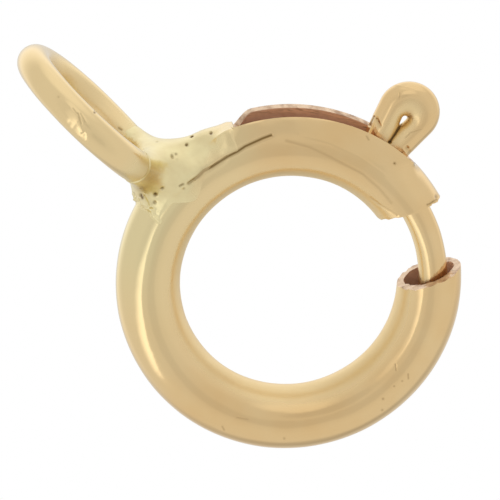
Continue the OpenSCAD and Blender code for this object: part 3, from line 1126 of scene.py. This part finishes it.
@cache
def tarnished_bore():
    # The same gold inside the tube, never polished: dull copper oxide, redder on the lips. The lips are
    # also painted paler towards their edge as painted light, and darker away from it as painted shade.
    material, tree, place = blank_material("tarnished bore")
    # The oxide comes in patches of 0.4 mm.
    patches = add_node(tree, "ShaderNodeTexNoise", {"Scale": 2.5, "Detail": 4.0}, {"Vector": place})
    deep = add_node(
        tree, "ShaderNodeMix", {"data_type": "RGBA", FROM: shown("bore_dark"), TO: shown("bore")},
        {AMOUNT: patches.outputs["Fac"]},
    )
    # File marks run along the lips, 0.7 mm long and 0.09 mm wide.
    along = add_node(
        tree, "ShaderNodeMapping",
        {"vector_type": "TEXTURE", "Rotation": (0, 0, math.radians(27)), "Scale": (0.7, 0.09, 0.09)},
        {"Vector": place},
    )
    streaks = add_node(
        tree, "ShaderNodeTexNoise", {"Scale": 1.0, "Detail": 3.0}, {"Vector": along.outputs["Vector"]}
    )
    spread = add_node(
        tree, "ShaderNodeMapRange", {"From Min": 0.45, "From Max": 0.7, "To Max": 0.7},
        {"Value": streaks.outputs["Fac"]},
    )
    coppery = add_node(
        tree, "ShaderNodeMix", {"data_type": "RGBA", FROM: shown("copper"), TO: shown("cut_dark")},
        {AMOUNT: spread.outputs["Result"]},
    )
    # Towards the lip's edge the coppery tarnish is painted lighter, as painted light; away from it, it
    # fades to the darker bore.
    lip = add_node(tree, "ShaderNodeAttribute", {"attribute_name": "lip"})
    tone = add_node(
        tree, "ShaderNodeMix", {"data_type": "RGBA"},
        {AMOUNT: lip.outputs["Fac"], FROM: deep.outputs[MIXED], TO: coppery.outputs[MIXED]},
    )
    filed = add_node(
        tree, "ShaderNodeBump", {"Strength": 1.0, "Distance": 0.008 * MM},
        {"Height": streaks.outputs["Fac"]},
    )
    surface = add_node(
        tree, "ShaderNodeBsdfPrincipled", {"Metallic": 0.1, "Roughness": 0.6},
        {"Base Color": tone.outputs[MIXED], "Normal": filed.outputs["Normal"]},
    )
    add_node(tree, "ShaderNodeOutputMaterial", None, {"Surface": surface.outputs["BSDF"]})
    return material


@cache
def filed_edge():
    # Gold filed across and left: pinkish and rough, with brown tarnish in patches of 0.4 mm and a grit of
    # 0.09 mm.
    material, tree, place = blank_material("filed and tarnished gold edge")
    patches = add_node(tree, "ShaderNodeTexNoise", {"Scale": 2.6, "Detail": 5.0}, {"Vector": place})
    spread = add_node(
        tree, "ShaderNodeMapRange", {"From Min": 0.44, "From Max": 0.66, "To Max": 0.7},
        {"Value": patches.outputs["Fac"]},
    )
    tone = add_node(
        tree, "ShaderNodeMix", {"data_type": "RGBA", FROM: shown("cut"), TO: shown("cut_dark")},
        {AMOUNT: spread.outputs["Result"]},
    )
    grit = add_node(tree, "ShaderNodeTexNoise", {"Scale": 11.0, "Detail": 4.0}, {"Vector": place})
    filed = add_node(
        tree, "ShaderNodeBump", {"Strength": 1.0, "Distance": 0.015 * MM}, {"Height": grit.outputs["Fac"]}
    )
    surface = add_node(
        tree, "ShaderNodeBsdfPrincipled", {"Metallic": 0.8, "Roughness": 0.36},
        {"Base Color": tone.outputs[MIXED], "Normal": filed.outputs["Normal"]},
    )
    add_node(tree, "ShaderNodeOutputMaterial", None, {"Surface": surface.outputs["BSDF"]})
    return material


@cache
def solder_gold():
    # Gold solder, melted and left as it flowed: paler and greener than the tube, satin, and duller in
    # patches of 0.9 mm. It is lumpy at 0.3 mm. Where it is thin, the tube's own gold shows.
    material, tree, place = blank_material("pale gold solder")
    felt = {
        name: add_node(tree, "ShaderNodeAttribute", {"attribute_name": name}).outputs["Fac"]
        for name in ("thick", "amber", "dirt")
    }
    patches = add_node(tree, "ShaderNodeTexNoise", {"Scale": 1.1, "Detail": 3.0}, {"Vector": place})
    spread = add_node(
        tree, "ShaderNodeMapRange", {"From Min": 0.35, "From Max": 0.65},
        {"Value": patches.outputs["Fac"]},
    )
    flowed = add_node(
        tree, "ShaderNodeMix", {"data_type": "RGBA", FROM: shown("solder"), TO: shown("solder_dull")},
        {AMOUNT: spread.outputs["Result"]},
    )
    tone = add_node(
        tree, "ShaderNodeMix", {"data_type": "RGBA", FROM: shown("gold_pale")},
        {AMOUNT: felt["thick"], TO: flowed.outputs[MIXED]},
    )
    # Over it go the painted amber shade in the bail's corner, and the dirt and painted dark in the marks.
    for name, over in (("amber", "amber"), ("dirt", "stain_and_shade")):
        tone = add_node(
            tree, "ShaderNodeMix", {"data_type": "RGBA", TO: shown(over)},
            {AMOUNT: felt[name], FROM: tone.outputs[MIXED]},
        )
    rough = add_node(
        tree, "ShaderNodeMapRange", {"To Min": 0.16, "To Max": 0.32}, {"Value": felt["thick"]}
    )
    flow = add_node(tree, "ShaderNodeTexNoise", {"Scale": 3.0, "Detail": 5.0}, {"Vector": place})
    lumps = add_node(
        tree, "ShaderNodeBump", {"Strength": 1.0, "Distance": 0.007 * MM}, {"Height": flow.outputs["Fac"]}
    )
    surface = add_node(
        tree, "ShaderNodeBsdfPrincipled", {"Metallic": 1.0},
        {"Base Color": tone.outputs[MIXED], "Roughness": rough.outputs["Result"],
         "Normal": lumps.outputs["Normal"]},
    )
    add_node(tree, "ShaderNodeOutputMaterial", None, {"Surface": surface.outputs["BSDF"]})
    return material


@cache
def spring_steel():
    # Drawn spring wire: grey, a little dull, with gold rubbed off on it in patches of 0.3 mm.
    material, tree, place = blank_material("drawn spring wire")
    patches = add_node(tree, "ShaderNodeTexNoise", {"Scale": 3.0, "Detail": 3.0}, {"Vector": place})
    tone = add_node(
        tree, "ShaderNodeMix", {"data_type": "RGBA", FROM: shown("steel"), TO: shown("gold")},
        {AMOUNT: patches.outputs["Fac"]},
    )
    rough = add_node(
        tree, "ShaderNodeMapRange", {"To Min": 0.2, "To Max": 0.45}, {"Value": patches.outputs["Fac"]}
    )
    surface = add_node(
        tree, "ShaderNodeBsdfPrincipled", {"Metallic": 1.0},
        {"Base Color": tone.outputs[MIXED], "Roughness": rough.outputs["Result"]},
    )
    add_node(tree, "ShaderNodeOutputMaterial", None, {"Surface": surface.outputs["BSDF"]})
    return material


# The picture's way to the right, its width in millimetres at the ring, and how far its middle is from the
# ring's, to the right and up. The lens is long, as the photograph's lines of sight are nearly parallel.
PICTURE_RIGHT = Vector((0.7648, 0.6425, -0.0480)).normalized()
PICTURE_WIDTH = 20.186
PICTURE_MIDDLE = (-1.587, 1.223)
SENSOR = 36
LENS = 1500
TABLE_SIZE = 0.8
# The table is this far under the clasp, so that the two don't share a surface.
TABLE_GAP = 0.01 * MM

# A stretch of the tent's light: the direction that it faces, the cosines from it at which its edge starts
# and ends, and its light outside and inside of that edge.
Glow = namedtuple("Glow", "towards edge full least most")
TENT = (
    # The roof, a little brighter all round its edge, and brightest low down by the table.
    Glow((0, 0, -1), -0.95, -0.5, 0.76, 0.815),
    Glow((0, 0, -1), 0.25, 0.95, 0, 0.34),
    # The clasp's own shade on the table.
    Glow((0.43, -0.3, -0.85), 0.55, 0.9, 0, -0.36),
    # A paler stretch of wall and of roof behind the thumb loop.
    Glow((-0.45, 0.89, -0.05), 0.75, 0.97, 0, 0.2),
    Glow((-0.28, 0.58, 0.76), 0.93, 0.98, 0, 0.18),
    Glow((-0.3, -0.2, 0.93), 0.975, 0.99, 0, 0.12),
    # The roof's seam and the camera are darker.
    Glow((0.379, -0.115, 0.919), 0.96, 0.992, 0, -0.065),
    Glow(tuple(VIEW), 0.97, 0.99, 0, -0.08),
)
# The lamp fills what two circles share: one has a crisp edge, towards the roof, and the other a soft one.
LAMP = (
    Glow((0.7117, 0.5931, -0.3764), -0.63, -0.65, 0, 1),
    Glow((0.7598, -0.3059, 0.5737), 0.3, 0.6, 0, 0.66),
)


class CLASP_OT_stage(bpy.types.Operator):
    """Add the white table, the soft tent of light and the camera"""

    bl_idname = "clasp.stage"
    bl_label = "Stage"

    def execute(self, context):
        self.camera()
        self.table()
        self.tent()
        context.scene.view_settings.view_transform = "Standard"
        return {"FINISHED"}

    def camera(self):
        up = VIEW.cross(PICTURE_RIGHT)
        middle = MM * (PICTURE_MIDDLE[0] * PICTURE_RIGHT + PICTURE_MIDDLE[1] * up)
        deselect()
        bpy.ops.object.camera_add()
        camera = bpy.context.active_object
        camera.data.lens = LENS
        camera.data.sensor_width = SENSOR
        camera.data.clip_start = 0.01
        far = MM * PICTURE_WIDTH * LENS / SENSOR
        camera.matrix_world = Matrix.Translation(middle + VIEW * far) @ Matrix(
            (PICTURE_RIGHT, up, VIEW)
        ).transposed().to_4x4()
        bpy.context.scene.camera = camera

    def table(self):
        deselect()
        bpy.ops.mesh.primitive_plane_add(size=TABLE_SIZE, location=(0, 0, cad_bounds[0].z - TABLE_GAP))
        table = into_mesh(bpy.context.active_object)
        table.name = "table"
        material = bpy.data.materials.new("lit white table")
        material.use_nodes = True
        tree = material.node_tree
        tree.nodes.clear()
        glow = add_node(tree, "ShaderNodeEmission", {"Color": shown("table"), "Strength": 1.0})
        add_node(tree, "ShaderNodeOutputMaterial", None, {"Surface": glow.outputs["Emission"]})
        table.data.materials.append(material)
        # The metal mirrors the lower half of the tent in its place.
        table.visible_glossy = False

    def tent(self):
        world = bpy.data.worlds.new("tent")
        bpy.context.scene.world = world
        world.use_nodes = True
        tree = world.node_tree
        tree.nodes.clear()
        way = add_node(tree, "ShaderNodeTexCoord").outputs["Generated"]
        lights = []
        for glow in (*TENT, *LAMP):
            facing = add_node(
                tree, "ShaderNodeVectorMath", {"operation": "DOT_PRODUCT", 1: glow.towards}, {0: way}
            )
            stretch = add_node(
                tree, "ShaderNodeMapRange",
                {"interpolation_type": "SMOOTHSTEP", "From Min": glow.edge, "From Max": glow.full,
                 "To Min": glow.least, "To Max": glow.most},
                {"Value": facing.outputs["Value"]},
            )
            lights.append(stretch.outputs["Result"])
        # The lamp's two edges make one patch, and all the patches add up.
        total = add_node(
            tree, "ShaderNodeMath", {"operation": "MULTIPLY"}, {0: lights.pop(), 1: lights.pop()}
        ).outputs["Value"]
        for light in lights:
            total = add_node(
                tree, "ShaderNodeMath", {"operation": "ADD"}, {0: total, 1: light}
            ).outputs["Value"]
        sky = add_node(tree, "ShaderNodeBackground", {"Color": shown("tent")}, {"Strength": total})
        add_node(tree, "ShaderNodeOutputWorld", None, {"Surface": sky.outputs["Background"]})


class CLASP_PT_panel(bpy.types.Panel):
    """Lists the clasp's sizes, colours and pieces"""

    bl_idname = "CLASP_PT_panel"
    bl_label = "Spring Ring Clasp"
    bl_space_type = "VIEW_3D"
    bl_region_type = "UI"
    bl_category = "Clasp"

    def draw(self, context):
        for group in (context.scene.clasp_sizes, context.scene.clasp_colours):
            box = self.layout.box()
            for name in group.__annotations__:
                box.prop(group, name)
        for operator in OPERATORS:
            self.layout.operator(operator.bl_idname)


OPERATORS = (
    CLASP_OT_stage,
    CLASP_OT_tube,
    CLASP_OT_stop,
    CLASP_OT_bail,
    CLASP_OT_solder,
    CLASP_OT_bolt,
    CLASP_OT_spring,
)
CLASSES = (ClaspSizes, ClaspColours, *OPERATORS, CLASP_PT_panel)


def register():
    for made in CLASSES:
        bpy.utils.register_class(made)
    bpy.types.Scene.clasp_sizes = PointerProperty(type=ClaspSizes)
    bpy.types.Scene.clasp_colours = PointerProperty(type=ClaspColours)


def unregister():
    del bpy.types.Scene.clasp_colours
    del bpy.types.Scene.clasp_sizes
    for made in reversed(CLASSES):
        bpy.utils.unregister_class(made)


def main():
    register()
    bpy.ops.clasp.stage()
    bpy.ops.clasp.tube()
    bpy.ops.clasp.stop()
    bpy.ops.clasp.bail()
    bpy.ops.clasp.solder()
    bpy.ops.clasp.bolt()
    bpy.ops.clasp.spring()


if __name__ == "__main__":
    main()
